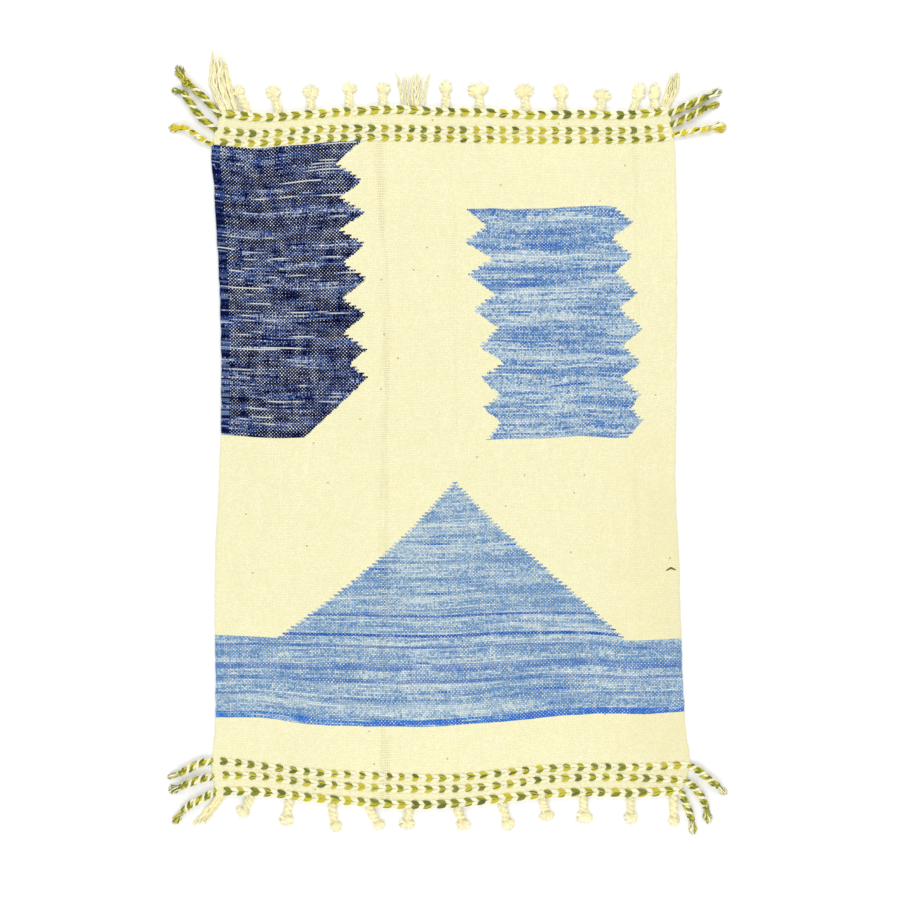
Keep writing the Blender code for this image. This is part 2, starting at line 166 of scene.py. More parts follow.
# ---------------------------------------------------------------- the motifs, in mm of cloth from its bottom left

# A toothed edge runs down the cloth: where it starts, then tooth by tooth so far down and so far to the right. Its
# span is the stretch of the cloth's length over which it is drawn.
Edge = namedtuple("Edge", "along across teeth span")
DARK_TOP = 838
DARK_TOP_SLANT = (-3, 6)  # so much higher at the left and at the right selvedge
DARK_BOTTOM = 462
DARK_TEETH = ((28, -34), (24, 32), (19, -32), (21, 33), (20, -34), (20, 32), (22, -29), (21, 30), (24, -32),
              (20, 30), (23, -30), (22, 30), (17, -23), (18, 25), (77, -84))
DARK_RIGHT = Edge(DARK_TOP, 193, DARK_TEETH, (455, 840))

LIGHT_TOP = 750
LIGHT_TOP_SLANT = (-8, 10)
LIGHT_BOTTOM = 461
LIGHT_LEFT_TEETH = ((19, 22), (20, -28), (21, 35), (20, -32), (25, 34), (20, -28), (23, 33), (24, -25), (20, 33),
                    (20, -32), (21, 26), (17, -22), (17, 23), (15, -11))
LIGHT_RIGHT_TEETH = ((22, 27), (19, -29), (24, 27), (19, -21), (29, 28), (18, -24), (28, 30), (20, -26), (23, 24),
                     (17, -24), (24, 24), (16, -12), (18, 16), (21, -20))
LIGHT_LEFT = Edge(LIGHT_TOP, 332, LIGHT_LEFT_TEETH, (460, 760))
LIGHT_RIGHT = Edge(LIGHT_TOP + 8, 514, LIGHT_RIGHT_TEETH, (460, 760))

# The peak's sides start a little past each other, so that they meet in a point.
PEAK_TOP = 410
PEAK_BOTTOM = 190
PEAK_LEFT = Edge(PEAK_TOP, 313, ((53, -50), (46, -49), (41, -49), (39, -49), (30, -38)), (195, 412))
PEAK_RIGHT = Edge(PEAK_TOP, 307, ((52, 49), (45, 49), (46, 49), (44, 48), (24, 27)), (195, 412))

BAND_TOP = (206, 200)  # at the left and the right selvedge
BAND_BOTTOM = (99.5, 106)
BAND_HEM = 8.5  # rows of stronger blue along its bottom
# Rows of deeper blue in the band: from and to so far up, and how strong.
DEEP_ROWS = ((163.0, 171.0, 0.6), (150.0, 154.0, 0.65), (131.0, 133.5, 0.4))
PEAK_FOOT = (208, 202)  # the foot of the peak, which its darkest row follows
PEAK_FOOT_BOW = 11.0  # how far the foot rises in the middle
# Rows of deeper blue that keep level with the foot: how far above it, half how high, and how strong.
LEVEL_ROWS = ((0.0, 1.9, 1.0), (25.0, 1.6, 0.85), (-14.5, 1.4, 0.7))

# Hand-dyed wool: its colours from the deepest to the palest, how long its streaks run, how much lighter than even it
# is, how many pale slubs it has, and the seed of its streaks.
Wool = namedtuple("Wool", "colours streak lightness slubs seed")
LIGHT_WOOL = Wool(((20, 92, 204), (68, 119, 188), (145, 178, 205), (213, 226, 230)), 60.0, 0.02, -0.02, 2.0)
PEAK_WOOL = Wool(((34, 102, 196), (101, 144, 192), (153, 182, 206), (206, 221, 224)), 60.0, 0.0, -0.03, 3.0)
HEM_WOOL = Wool(((10, 72, 190), (44, 110, 204), (104, 158, 210), (196, 214, 218)), 60.0, -0.17, 0.0, 4.0)
DEEP_WOOL = Wool(((6, 70, 156), (22, 92, 182), (84, 142, 206), (170, 198, 216)), 60.0, -0.30, -0.05, 6.0)
DARK_WOOL = Wool(((2, 4, 20), (6, 12, 60), (54, 88, 164), (216, 221, 216)), 46.0, -0.15, 0.03, 9.0)
CREAM_WEFT = (246, 241, 195)
CREAM_WARP = (254, 252, 226)
WARP_IN_LIGHT = (243, 242, 216)
WARP_IN_DARK = (242, 247, 242)
SELVEDGE_BAR = (128, 152, 194)
# Painted shade in the gaps between the yarns, in the cream, the light blue and the dark motifs.
GAP_SHADE_IN_CREAM = (176, 156, 100)
GAP_SHADE_IN_LIGHT = (70, 92, 132)
GAP_SHADE_IN_DARK = (4, 5, 20)
SOIL = (214, 190, 128)
FLECK = (226, 205, 150)
SPECK = (104, 88, 58)
STRAY = (38, 34, 28)

OLIVE = (136, 140, 48)
DARK_OLIVE = (106, 114, 42)
MUSTARD = (206, 196, 58)
CREAM = (250, 247, 214)
BRIGHT_YELLOW = (226, 208, 30)
TAN = (226, 200, 140)
BURR = (186, 164, 106)  # small bits of straw and darker wool
PALE_TAN = (240, 226, 180)
PALE_CREAM = (253, 248, 210)
WARM_CREAM = (251, 243, 190)
# Which dyes the yarns of each ply have, by number.
TASSEL_PLIES = ((0, 1, 0, 1, 0, 1, 0), (1, 0, 1, 0, 1, 0, 1))
TAIL_PLIES = {
    "top": ((0, 3, 0, 1), (1, 0, 1, 0), (2, 2)),
    "bottom": ((0, 1, 0, 3), (1, 2, 1, 0), (2, 2, 2)),
    "bright": ((0, 0, 1, 0), (2, 2), (2, 3, 0)),
}
TWINING_DYES = (OLIVE, MUSTARD, CREAM, DARK_OLIVE)
YELLOW_DYES = (BRIGHT_YELLOW, MUSTARD, CREAM, DARK_OLIVE)
WARP_DYES = (PALE_CREAM, WARM_CREAM, TAN, PALE_TAN)


# ---------------------------------------------------------------- the cloth's outline


def smooth_line(at, places, values):
    """A curve through a table's values that turns softly at each of them."""
    places = np.asarray(places, float)
    values = np.asarray(values, float)
    at = np.clip(at, places[0], places[-1])
    slopes = np.gradient(values, places)
    k = np.clip(np.searchsorted(places, at, side="right") - 1, 0, len(places) - 2)
    step = places[k + 1] - places[k]
    t = (at - places[k]) / step
    rise = t * t * (3 - 2 * t)
    return (
        values[k] * (1 - rise) + values[k + 1] * rise
        + step * t * (1 - t) * (slopes[k] * (1 - t) - slopes[k + 1] * t)
    )


def selvedge(along, side):
    """The X of the left or right edge at a share of the length."""
    column = 1 if side == "left" else 2
    return smooth_line(along, [row[0] for row in SIDES], [row[column] for row in SIDES])


def row_line(across, name):
    """The Y of a twined row at a share of the width."""
    return smooth_line(across, np.linspace(0, 1, len(ROWS[name])), ROWS[name])


def end_line(across, end):
    """The Y of the cloth's top (+1) or bottom (-1) end."""
    return row_line(across, "top_outer" if end > 0 else "bottom_outer") + end * EDGE_PAST_ROW


def cloth_plan(across, along):
    """Where a point of the cloth lies in plan, from its shares of the width and the length."""
    left = selvedge(along, "left")
    bottom = end_line(across, -1)
    x = left + (selvedge(along, "right") - left) * across
    return x, bottom + (end_line(across, 1) - bottom) * along


def across_at(x, along):
    left = selvedge(along, "left")
    return (x - left) / (selvedge(along, "right") - left)


def along_at(y):
    bottom = end_line(0.0, -1)
    return (y - bottom) / (end_line(0.0, 1) - bottom)


def soft_noise(x, y, size, seed):
    """Smooth unevenness from -1 to 1 whose swells are about size apart."""
    rng = np.random.default_rng(seed)
    total = np.zeros_like(np.asarray(x, float))
    for _ in range(7):
        angle, phase = rng.uniform(0, TURN, 2)
        wave = TURN / (size * rng.uniform(0.7, 1.7))
        total += np.sin((np.cos(angle) * x + np.sin(angle) * y) * wave + phase)
    return total / 4.2


def cloth_lift(across, along, x, y):
    """How far the cloth's middle layer stands off the floor: the fold and a little cockling."""
    crest = np.exp(-(((across - FOLD_ACROSS) / FOLD_HALF_WIDTH) ** 2) * 1.4)
    fade = np.clip(np.minimum(along, 1 - along) / FOLD_FADES_OVER - 1, 0, 1)
    cockle = COCKLE * np.maximum(0.5 + 0.5 * soft_noise(x, y, 90.0, 5), 0.0)
    inside = np.clip(np.minimum(np.minimum(across, 1 - across), np.minimum(along, 1 - along)) * 12, 0, 1)
    return CLEAR_OF_FLOOR + 0.8 * FOLD_HEIGHT * crest * fade + cockle * inside


def edge_swell(from_side):
    """The selvedge, where the weft turns back, is a little thicker than the cloth."""
    return SELVEDGE_SWELL * np.exp(-((from_side - 2.5) / (0.5 * SELVEDGE_WIDE)) ** 2)


# ---------------------------------------------------------------- meshes


def finished(name, mesh, material, node):
    """Turns a mesh into a piece of the kilim that stands for its solid."""
    mesh.materials.append(material)
    obj = bpy.data.objects.new(name, mesh)
    bpy.context.scene.collection.objects.link(obj)
    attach(obj, "root")
    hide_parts(node)
    return obj


def close_spaced(count, length):
    """Shares from 0 to 1 that stand close together at both ends, where the edge rounds off."""
    near = EDGE_ROUND / length
    edge = near * (1 - np.cos(np.linspace(0, math.pi / 2, 6)))
    inner = np.linspace(near, 1 - near, count - 10)
    return np.concatenate([edge[:-1], inner, 1 - edge[:-1][::-1]])


def uneven_edges(x, y, across, along):
    """The weft's turns make a selvedge a little wavy, and the twining a cloth's end a little scalloped."""
    near_side = np.clip(1 - np.minimum(across, 1 - across) * CLOTH_WIDE / 14, 0, 1)
    near_end = np.clip(1 - np.minimum(along, 1 - along) * CLOTH_LONG / 12, 0, 1)
    wave = 0.55 * soft_noise(y, np.sign(across - 0.5) * 400, 22.0, 8) + 0.3 * soft_noise(y, y * 0, 9.0, 12)
    scallop = 0.6 * np.cos(TURN * across * STITCHES / (1 - 2 * ROW_INSET))
    scallop += 0.5 * soft_noise(x, along * 900, 40.0, 9)
    return x + near_side * wave, y + np.sign(along - 0.5) * near_end * scallop


def cloth_mesh():
    """The cloth as a closed thin sheet, which carries its warp and pick places as an attribute."""
    across, along = np.meshgrid(close_spaced(CLOTH_COLUMNS, CLOTH_WIDE), close_spaced(CLOTH_LINES, CLOTH_LONG))
    x, y = cloth_plan(across, along)
    x, y = uneven_edges(x, y, across, along)
    from_side = np.minimum(across, 1 - across) * CLOTH_WIDE
    from_end = np.minimum(along, 1 - along) * CLOTH_LONG
    depth = np.minimum(np.minimum(from_side, from_end) / EDGE_ROUND, 1.0)
    half = 0.5 * CLOTH_THICK * np.sqrt(np.clip(1 - (1 - depth) ** 2, 0, 1))
    middle = 0.5 * CLOTH_THICK + cloth_lift(across, along, x, y)
    lines, columns = across.shape
    top = np.stack([x, y, middle + half + edge_swell(from_side)], -1).reshape(-1, 3)
    under = np.stack([x, y, middle - half], -1).reshape(-1, 3)
    weave = np.stack([across * CLOTH_WIDE, along * CLOTH_LONG, np.zeros_like(x)], -1).reshape(-1, 3)
    index = np.arange(lines * columns).reshape(lines, columns)
    rim = np.zeros((lines, columns), bool)
    rim[[0, -1], :] = rim[:, [0, -1]] = True
    inside = index[~rim]
    below = index.copy()
    below[~rim] = lines * columns + np.arange(len(inside))
    up = np.stack([index[:-1, :-1], index[:-1, 1:], index[1:, 1:], index[1:, :-1]], -1).reshape(-1, 4)
    down = np.stack([below[:-1, :-1], below[1:, :-1], below[1:, 1:], below[:-1, 1:]], -1).reshape(-1, 4)
    points = np.concatenate([top, under[inside]])
    points[index[rim], 2] = middle[rim]
    mesh = bpy.data.meshes.new("kilim_cloth")
    mesh.from_pydata((points * MM).tolist(), [], np.concatenate([up, down]).tolist())
    marks = np.concatenate([weave, weave[inside]])
    mesh.attributes.new("weave", "FLOAT_VECTOR", "POINT").data.foreach_set("vector", marks.ravel())
    mesh.shade_smooth()
    return mesh


# Strands that are made alike. Twist is how fast the fibres wind round a strand, grain how fine they are.
Bundle = namedtuple("Bundle", "paths radii tint dye sides twist grain", defaults=(1.0,))


def tube_points(bundle):
    """Rings of points round each strand of a bundle, with what the yarn materials read on them."""
    paths = bundle.paths
    ahead = np.gradient(paths, axis=1)
    ahead /= np.linalg.norm(ahead, axis=2, keepdims=True) + 1e-9
    side = np.cross(ahead, (0.0, 0.0, 1.0))
    side += 1e-6
    side /= np.linalg.norm(side, axis=2, keepdims=True)
    up = np.cross(side, ahead)
    step = np.linalg.norm(np.diff(paths, axis=1), axis=2)
    run = np.concatenate([np.zeros((len(paths), 1)), np.cumsum(step, axis=1)], axis=1)
    turn = np.arange(bundle.sides) * TURN / bundle.sides
    ring = np.cos(turn)[:, None] * side[:, :, None] + np.sin(turn)[:, None] * up[:, :, None]
    points = paths[:, :, None] + bundle.radii[:, :, None, None] * ring
    angle = turn[None, None] + bundle.twist * run[:, :, None]
    fibre = bundle.grain * np.stack([np.cos(angle), np.sin(angle)], -1)
    lay = np.concatenate([fibre, np.broadcast_to(run[:, :, None, None], (*angle.shape, 1))], -1)
    shape = points.shape[:3]
    tint = np.broadcast_to(bundle.tint[:, None, None], shape)
    dye = np.broadcast_to(bundle.dye[:, None, None], shape)
    return points, lay, tint, dye


def tube_faces(strands, rings, sides, start):
    """Quads along each strand, and a cap at each of its ends."""
    index = start + np.arange(strands * rings * sides).reshape(strands, rings, sides)
    after = np.roll(index, -1, axis=2)
    quads = np.stack([index[:, :-1], index[:, 1:], after[:, 1:], after[:, :-1]], -1).reshape(-1, 4)
    caps = np.concatenate([index[:, 0], index[:, -1, ::-1]])
    return quads.tolist() + caps.tolist()


def yarn_mesh(name, bundles):
    """One mesh from bundles of strands."""
    points, lays, tints, dyes, faces = [], [], [], [], []
    count = 0
    for bundle in bundles:
        place, lay, tint, dye = tube_points(bundle)
        faces += tube_faces(*place.shape[:3], count)
        count += place[..., 0].size
        points.append(place.reshape(-1, 3))
        lays.append(lay.reshape(-1, 3))
        tints.append(tint.reshape(-1))
        dyes.append(dye.reshape(-1))
    places = np.concatenate(points)
    places[:, 2] = np.maximum(places[:, 2], CLEAR_OF_FLOOR)
    mesh = bpy.data.meshes.new(name)
    mesh.from_pydata((places * MM).tolist(), [], faces)
    mesh.attributes.new("lay", "FLOAT_VECTOR", "POINT").data.foreach_set("vector", np.concatenate(lays).ravel())
    mesh.attributes.new("tint", "FLOAT", "POINT").data.foreach_set("value", np.concatenate(tints))
    mesh.attributes.new("dye", "FLOAT", "POINT").data.foreach_set("value", np.concatenate(dyes))
    mesh.shade_smooth()
    return mesh


# ---------------------------------------------------------------- ropes, tufts and loose yarns


def smooth_route(points, count):
    """A soft curve through a few points."""
    points = np.asarray(points, float)
    step = np.linalg.norm(np.diff(points, axis=0), axis=1)
    places = np.concatenate([[0], np.cumsum(step)])
    at = np.linspace(0, places[-1], count)
    return np.stack([smooth_line(at, places, points[:, k]) for k in range(points.shape[1])], -1)


def rope_bundle(route, wide, high, plies, yarns, turns, yarn_turns, rng):
    """Plies wound round a route, of the half width and half height given at each point.

    Each ply lists its yarns' dyes, and yarns says how many of them fill it.
    """
    count = len(route)
    ahead = np.gradient(route, axis=0)
    ahead /= np.linalg.norm(ahead, axis=1, keepdims=True)
    side = np.cross(ahead, (0.0, 0.0, 1.0))
    side /= np.linalg.norm(side, axis=1, keepdims=True)
    up = np.cross(side, ahead)
    t = np.linspace(0, 1, count)
    ply_share = 0.43 if len(plies) == 2 else 0.52
    inner = 1 - ply_share
    thick = np.minimum(wide, high * 1.3) * inner * 2.1 / math.sqrt(yarns + 2.0)
    paths, radii, tint, dye = [], [], [], []
    for ply, dyes in enumerate(plies):
        phase = TURN * (ply / len(plies) + turns * t) + 0.6
        for yarn, yarn_dye in enumerate(dyes):
            own = TURN * (yarn / yarns + yarn_turns * t) + ply
            u = ply_share * np.cos(phase) + inner * 0.62 * np.cos(own)
            v = ply_share * np.sin(phase) + inner * 0.62 * np.sin(own)
            paths.append(route + side * (wide * u)[:, None] + up * (high * v)[:, None])
            radii.append(thick * rng.uniform(0.9, 1.12))
            tint.append(rng.uniform())
            dye.append(yarn_dye)
    return Bundle(np.array(paths), np.array(radii), np.array(tint), np.array(dye, float), 5, 1.3)


def tuft_bundle(neck, ahead, reach, spread, rng, high=3.0, count=16, fan=0.64, radius=0.6, dyes=(0, 1)):
    """Frayed ends that fan out of a rope's neck into a soft rounded head, and lie down on the floor.

    They spread over a share, fan, of half a turn to each side.
    """
    ahead = np.asarray(ahead, float) / np.linalg.norm(ahead)
    side = np.array([ahead[1], -ahead[0]])
    angle = np.linspace(-1, 1, count) * math.pi * fan + rng.normal(0, 0.12, count)
    rng.shuffle(angle)
    deep = 1.04 - 0.6 * rng.uniform(0, 1, count) ** 1.3
    across = np.sin(angle) * 0.56 * spread * deep
    out = 0.45 * reach + np.cos(angle) * 0.54 * reach * deep
    t = np.linspace(0, 1, 8)
    root_side = rng.uniform(-1, 1, count) * high * 0.8
    root_high = high + rng.uniform(-0.6, 0.6, count) * high
    tip_high = radius + rng.uniform(0, 1, count) ** 1.5 * 2.6 * (1.3 - deep)
    bend = (1 - t)[None] * t[None] * 2
    ease = t[None] ** 1.6
    curl = rng.uniform(0.15, 0.6, (count, 1))
    sideways = root_side[:, None] * (1 - ease) + across[:, None] * ease
    sideways = sideways + np.sin(t[None] * rng.uniform(5, 11, (count, 1)) + rng.uniform(0, TURN, (count, 1))) * curl
    forward = -1.5 + (out[:, None] + 1.5) * (t[None] ** 0.75) + bend * 1.5
    height = root_high[:, None] * (1 - ease) + tip_high[:, None] * ease
    paths = np.zeros((count, len(t), 3))
    paths[..., 0] = neck[0] + ahead[0] * forward + side[0] * sideways
    paths[..., 1] = neck[1] + ahead[1] * forward + side[1] * sideways
    paths[..., 2] = height
    taper = np.interp(t, (0, 0.55, 0.85, 1), (0.8, 1, 0.8, 0.3))
    radii = rng.uniform(0.75, 1.25, (count, 1)) * radius * taper[None]
    sides = 10 if radius > 1 else 5 if radius > 0.5 else 4 if radius > 0.2 else 3
    tint = rng.uniform(0, 1, count)
    return Bundle(
        paths, radii, tint, rng.choice(dyes, count).astype(float), sides, twist=0.6, grain=max(1.0, radius * 2.4))


def gather_wrap(route_end, ahead, half, dye, rng):
    """One yarn wound twice round a rope's neck."""
    ahead = np.asarray(ahead, float) / np.linalg.norm(ahead)
    side = np.array([ahead[1], -ahead[0]])
    t = np.linspace(0, 1, 26)
    angle = TURN * 2.2 * t
    out = (t - 0.5) * 2.6
    path = np.zeros((1, len(t), 3))
    path[0, :, 0] = route_end[0] + ahead[0] * out + side[0] * half * np.cos(angle)
    path[0, :, 1] = route_end[1] + ahead[1] * out + side[1] * half * np.cos(angle)
    path[0, :, 2] = np.maximum(route_end[2] + half * np.sin(angle), 0.6)
    return Bundle(path, np.full((1, len(t)), 0.62), np.array([rng.uniform()]), np.array([dye], float), 5, 1.3)


def stray_hairs(route, half, count, rng):
    """Fine hairs that stand off a rope."""
    spot = rng.integers(0, len(route), count)
    start = route[spot] + rng.normal(0, 0.55, (count, 3)) * half
    drift = rng.normal(0, 1, (count, 3)) * (1.7, 1.7, 0.6)
    t = np.linspace(0, 1, 5)[None, :, None]
    curl = rng.normal(0, 0.8, (count, 1, 3)) * np.sin(t * math.pi)
    paths = start[:, None] + drift[:, None] * t * 1.5 + curl
    paths[..., 2] = np.maximum(paths[..., 2], 0.15)
    radii = np.full((count, 5), 0.13) * np.linspace(1, 0.4, 5)[None]
    return Bundle(paths, radii, rng.uniform(0, 1, count), np.zeros(count), 3, 0.0)


def tassel_bundles(row, end, rng):
    """A two-ply rope of warp yarns that gathers out of the cloth's end, with a frayed head."""
    edge = float(end_line(across_at(row.root_x, 1.0 if end > 0 else 0.0), end))
    neck = np.array([row.neck_x, row.neck_y, ROPE_HALF * 0.86])
    root = np.array([row.root_x, edge - end * 1.2, 0.5 * CLOTH_THICK])
    bow = (row.root_x - row.neck_x) * 0.15
    middle = (root + neck) / 2 + (bow, 0, 1.2)
    route = smooth_route([root, middle, neck], 26)
    t = np.linspace(0, 1, len(route))
    wide = np.interp(t, (0, 0.22, 0.6, 1), (6.6, 4.9, 5.1, 4.6))
    high = np.interp(t, (0, 0.22, 0.6, 1), (1.3, 3.6, 4.4, 4.2))
    route[:, 2] = np.interp(t, (0, 0.3, 1), (1.5, high[8], high[-1]))
    rope = rope_bundle(route, wide, high, TASSEL_PLIES, 7, rng.uniform(1.5, 2.1), -1.6, rng)
    ahead = (row.tip_x - row.neck_x, row.tip_y - row.neck_y)
    reach = math.hypot(*ahead)
    lumps = tuft_bundle(neck, ahead, reach - 0.8, row.spread - 2.0, rng, high=2.4, count=22, fan=0.62, radius=2.2)
    curls = tuft_bundle(neck, ahead, reach, row.spread, rng)
    hairs = tuft_bundle(
        neck, ahead, reach * 1.14, row.spread * 1.16, rng, high=3.2, count=44, fan=0.68, radius=0.15)
    bundles = [rope, lumps, curls, hairs, stray_hairs(route, 4.4, 26, rng)]
    # Painted shade: the pale tan yarn wound round each bottom tassel's neck stands for the shade where the rope
    # gathers.
    if end < 0:
        bundles.append(gather_wrap(neck, ahead, 4.0, 3, rng))
    return bundles


def lock_bundles(row, rng):
    """Loose kinked warp yarns that leave the cloth's end side by side and lie down on the floor."""
    edge = float(end_line(across_at(row.root_x, 1.0 if row.end > 0 else 0.0), row.end))
    t = np.linspace(0, 1, 30)
    line = smooth_route([(row.root_x, edge - row.end), (row.mid_x, row.mid_y), (row.tip_x, row.tip_y)], len(t))
    width = np.interp(t, (0, 0.5, 1), (row.root_wide, row.mid_wide, row.tip_wide))
    bundles = []
    for count, radius, sides, wander in ((row.yarns, row.yarn.radius, 5, 1.0), (row.hairs, HAIR, 3, 2.4)):
        share = np.linspace(-0.5, 0.5, count) + rng.normal(0, 0.055, count)
        share = share * row.yarn.fan
        reach = rng.uniform(0.72, 1.0, count)
        paths = np.zeros((count, len(t), 3))
        for k in range(count):
            part = t * reach[k]
            kink = 0.8 * wander * np.sin(part * rng.uniform(16, 30) + rng.uniform(0, TURN)) * np.clip(t * 4, 0, 1)
            paths[k, :, 0] = np.interp(part, t, line[:, 0]) + share[k] * np.interp(part, t, width) + kink
            paths[k, :, 1] = np.interp(part, t, line[:, 1])
            lie = rng.uniform(1.0, row.yarn.highest)
            paths[k, :, 2] = np.interp(part, (0, 0.14, 1), (1.5, lie, lie * 0.7))
            paths[k, :, 2] += 0.4 * np.abs(np.sin(part * 19 + k))
        radii = radius * rng.uniform(0.8, 1.15, (count, 1)) * np.interp(t, (0, 0.8, 1), (1, 0.85, 0.35))[None]
        dye = rng.choice(row.yarn.dyes, count).astype(float)
        bundles.append(Bundle(paths, radii, rng.uniform(0, 1, count), dye, sides, 1.6))
    return bundles


def is_bright(tail):
    """The inner tail of each top corner is of brighter yellow yarn."""
    return "top" in tail.name and "inner" in tail.name


def tail_bundles(row, rng):
    """Three plies of twining yarn laid together, with a frayed leaf-shaped end."""
    inward = 1.5 if row.side == "left" else -1.5
    root = (float(selvedge(along_at(row.root_y), row.side)) + inward, row.root_y, 2.6)
    low = TAIL_HALF * 0.92
    route = smooth_route(
        [root, (row.bend_x, row.bend_y, low), (row.turn_x, row.turn_y, low), (row.neck_x, row.neck_y, low)], 44)
    t = np.linspace(0, 1, len(route))
    wide = np.interp(t, (0, 0.2, 0.8, 1), (3.6, 4.1, 4.1, 3.7))
    high = np.interp(t, (0, 0.2, 0.8, 1), (2.4, 3.7, 3.7, 3.3))
    plies = TAIL_PLIES["bright" if is_bright(row) else row.name.split("_")[1]]
    if is_bright(row):
        wide = wide * 0.8
    rope = rope_bundle(route, wide, high, plies, 4, rng.uniform(3.2, 4.0), -2.0, rng)
    dyes = [dye for ply in plies for dye in ply]
    ahead = (row.tip_x - row.neck_x, row.tip_y - row.neck_y)
    reach = math.hypot(*ahead)
    curls = tuft_bundle(
        route[-1], ahead, reach, row.spread, rng, count=46, fan=0.42, radius=0.8, dyes=dyes)
    hairs = tuft_bundle(
        route[-1], ahead, reach * 1.05, row.spread * 1.1, rng, count=50, fan=0.45, radius=HAIR, dyes=dyes)
    bundles = [rope, curls, hairs, gather_wrap(route[-1], ahead, 3.4, dyes[0], rng)]
    if row.name == "tail_top_left_outer":
        bundles.append(overhand_knot(route[-1], rng))
    return bundles


def overhand_knot(place, rng):
    """The tail's own yarn tied once round itself."""
    t = np.linspace(0, TURN, 90)
    path = np.stack([(2 + np.cos(3 * t)) * np.cos(2 * t), (2 + np.cos(3 * t)) * np.sin(2 * t), np.sin(3 * t)], -1)
    path = path * (1.75, 1.75, 1.9) + (place[0], place[1], 4.6)
    paths = np.stack([path, path + (0.5, 0.3, 0.9)])
    return Bundle(paths, np.full((2, 90), 1.25), rng.uniform(0, 1, 2), np.array([0.0, 1.0]), 6, 1.3)


def leaf_bundles(centres, ahead, out, side, length, half, lift, dye, rng):
    """One leaf of each arrowhead: three yarns that run from its outer tail to its point, fat in the middle."""
    count = len(centres)
    t = np.linspace(0, 1, 9)
    fat = np.sin(np.clip(t * 0.94 + 0.03, 0, 1) * math.pi) ** 0.62
    forward = (t - 0.5)[None] * length[:, None]
    sideways = (0.80 - 0.62 * t ** 1.15)[None] * half * side
    height = CLOTH_THICK - 0.5 + lift * np.sin(np.clip(t, 0, 1) * math.pi) ** 0.7
    middle = centres[:, None] + ahead[:, None] * forward[..., None] + out[:, None] * sideways[..., None]
    slant = out * side + 0.35 * ahead
    bundles = []
    for place in (-1.0, 0.0, 1.0):
        shift = 0.24 * half * place * fat
        paths = np.zeros((count, len(t), 3))
        paths[..., :2] = middle + slant[:, None] * shift[None, :, None]
        paths[..., 2] = height[None] + (0.25 if place == 0 else 0.0)
        radii = (0.21 * half * fat + 0.12)[None] * rng.uniform(0.9, 1.15, (count, 1))
        strayed = (rng.uniform(size=count) < 0.42) & (dye != 2)
        own = np.where(strayed, rng.choice((0, 1, 1), count), dye)
        bundles.append(Bundle(paths, radii, rng.uniform(0, 1, count), own.astype(float), 5, 1.1))
    return bundles


def stitch_dyes(rng):
    """The dye of the upper and lower leaf of each arrowhead along a row: olive, mustard or dark olive."""
    drift = np.sin(np.arange(STITCHES) * rng.uniform(0.25, 0.5) + rng.uniform(0, TURN))
    mustard = np.clip(0.42 + 0.3 * drift, 0.05, 0.9)
    upper = np.where(rng.uniform(size=STITCHES) < mustard * 0.8, 1, rng.choice((0, 0, 3), STITCHES))
    lower = np.where(rng.uniform(size=STITCHES) < mustard * 1.25, 1, rng.choice((0, 0, 3), STITCHES))
    return upper, lower


def twined_row_bundles(name, rng):
    """Coloured and cream arrowheads by turns across the cloth, all pointing to the right."""
    outer = "outer" in name
    half = OUTER_ARROW_HALF if outer else INNER_ARROW_HALF
    pitch = (1 - 2 * ROW_INSET) / STITCHES
    coloured = (0.5, 0.74 if outer else 0.60, 1.6, stitch_dyes(rng))
    cream = (1.0, 0.72, 1.3, [np.full(STITCHES, 2)] * 2)
    bundles = []
    for shift, share, lift, dyes in (coloured, cream):
        at = ROW_INSET + pitch * (np.arange(STITCHES) + shift + rng.normal(0, 0.045, STITCHES))
        at = np.clip(at, 0.012, 0.988)
        y = row_line(at, name)
        x = cloth_plan(at, along_at(y))[0]
        centres = np.stack([x, y], -1)
        slope = np.gradient(y, x)
        ahead = np.stack([np.ones_like(slope), slope], -1) / np.hypot(1, slope)[:, None]
        out = np.stack([-ahead[:, 1], ahead[:, 0]], -1)
        length = ARROW_LONG * share * rng.uniform(0.84, 1.16, STITCHES)
        for side, dye in zip((1.0, -1.0), dyes):
            own = length * rng.uniform(0.92, 1.08, STITCHES)
            bundles += leaf_bundles(centres, ahead, out, side, own, half, lift, dye, rng)
    return bundles


# ---------------------------------------------------------------- shader helpers


def paint(colour):
    """A colour as shaders want it, from the 0 to 255 of a colour chart."""
    scaled = [c / 255 for c in colour]
    return (*[c / 12.92 if c <= 0.04045 else ((c + 0.055) / 1.055) ** 2.4 for c in scaled], 1.0)


def placed(operation, swapped=False):
    """What an operator between two signals does: it places a maths node."""
    return lambda one, other: one.bench.maths(operation, *((other, one) if swapped else (one, other)))


class Signal:
    """A value in a shader, which can be reckoned with as if it were a number."""

    def __init__(self, bench, socket):
        self.bench, self.socket = bench, socket

    __add__, __radd__ = placed("ADD"), placed("ADD", True)
    __sub__, __rsub__ = placed("SUBTRACT"), placed("SUBTRACT", True)
    __mul__ = placed("MULTIPLY")
    __truediv__, __mod__ = placed("DIVIDE"), placed("FLOORED_MODULO")
    __gt__, __lt__ = placed("GREATER_THAN"), placed("LESS_THAN")


